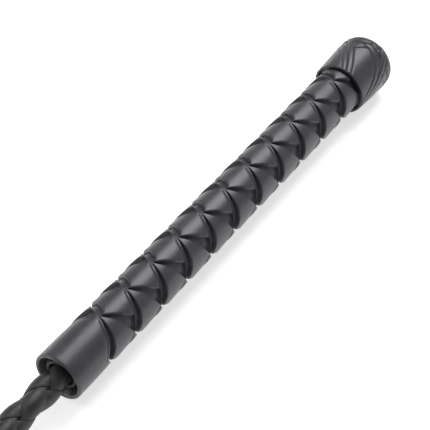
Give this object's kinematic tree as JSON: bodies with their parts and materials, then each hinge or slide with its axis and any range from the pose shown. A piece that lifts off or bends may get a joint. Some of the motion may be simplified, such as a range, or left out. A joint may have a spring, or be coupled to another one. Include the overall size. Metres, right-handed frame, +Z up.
{
  "type": "riding crop",
  "caption": "Riding crop with a moulded rubber handle and bulb end cap, a tapered plaited leather shaft on a stiff rod, and a flexible flat leather tongue.",
  "frame": {"origin": "on the surface that the crop lies on, under the middle of its length", "axes": "+X along the shaft towards the knob, +Z up, and the flat leather tongue lies level towards -X"},
  "size_m": [0.6808, 0.03, 0.0256],
  "materials": {
    "moulded_rubber": "satin moulded rubber, dark grey",
    "hard_plastic": "matt black plastic",
    "nylon": "natural nylon",
    "glass_fibre": "resin-bonded glass fibre",
    "cotton_padding": "wound cotton tape",
    "plaited_leather": "black strap leather, waxed",
    "black_leather": "black grained leather",
    "waxed_thread": "black waxed thread"
  },
  "bodies": {
    "crop": {"grip_sleeve": "moulded_rubber", "knob_cap": "moulded_rubber", "handle_liner": "hard_plastic", "end_plug": "hard_plastic", "front_bush": "nylon", "rear_bush": "nylon", "core_rod": "glass_fibre", "rod_wrapping": "cotton_padding", "plait_strand_1": "plaited_leather", "plait_strand_2": "plaited_leather", "plait_strand_3": "plaited_leather", "plait_strand_4": "plaited_leather", "mouth_packing": "black_leather", "root_whipping": "waxed_thread", "tip_whipping": "waxed_thread", "rod_tip_cap": "hard_plastic", "tongue_binding": "waxed_thread", "upper_leaf_root": "black_leather", "lower_leaf_root": "black_leather"},
    "tongue": {"upper_leaf_blade": "black_leather", "lower_leaf_blade": "black_leather", "leaf_filler": "black_leather"}
  },
  "joints": [
    {"name": "tongue_bend", "type": "hinge", "parent": "crop", "child": "tongue", "pos_m": [-0.26063, 0, 0.0128], "axis": [0, 1, 0], "range_deg": [-50, 50], "stiffness_Nm_per_rad": 0.6}
  ]
}
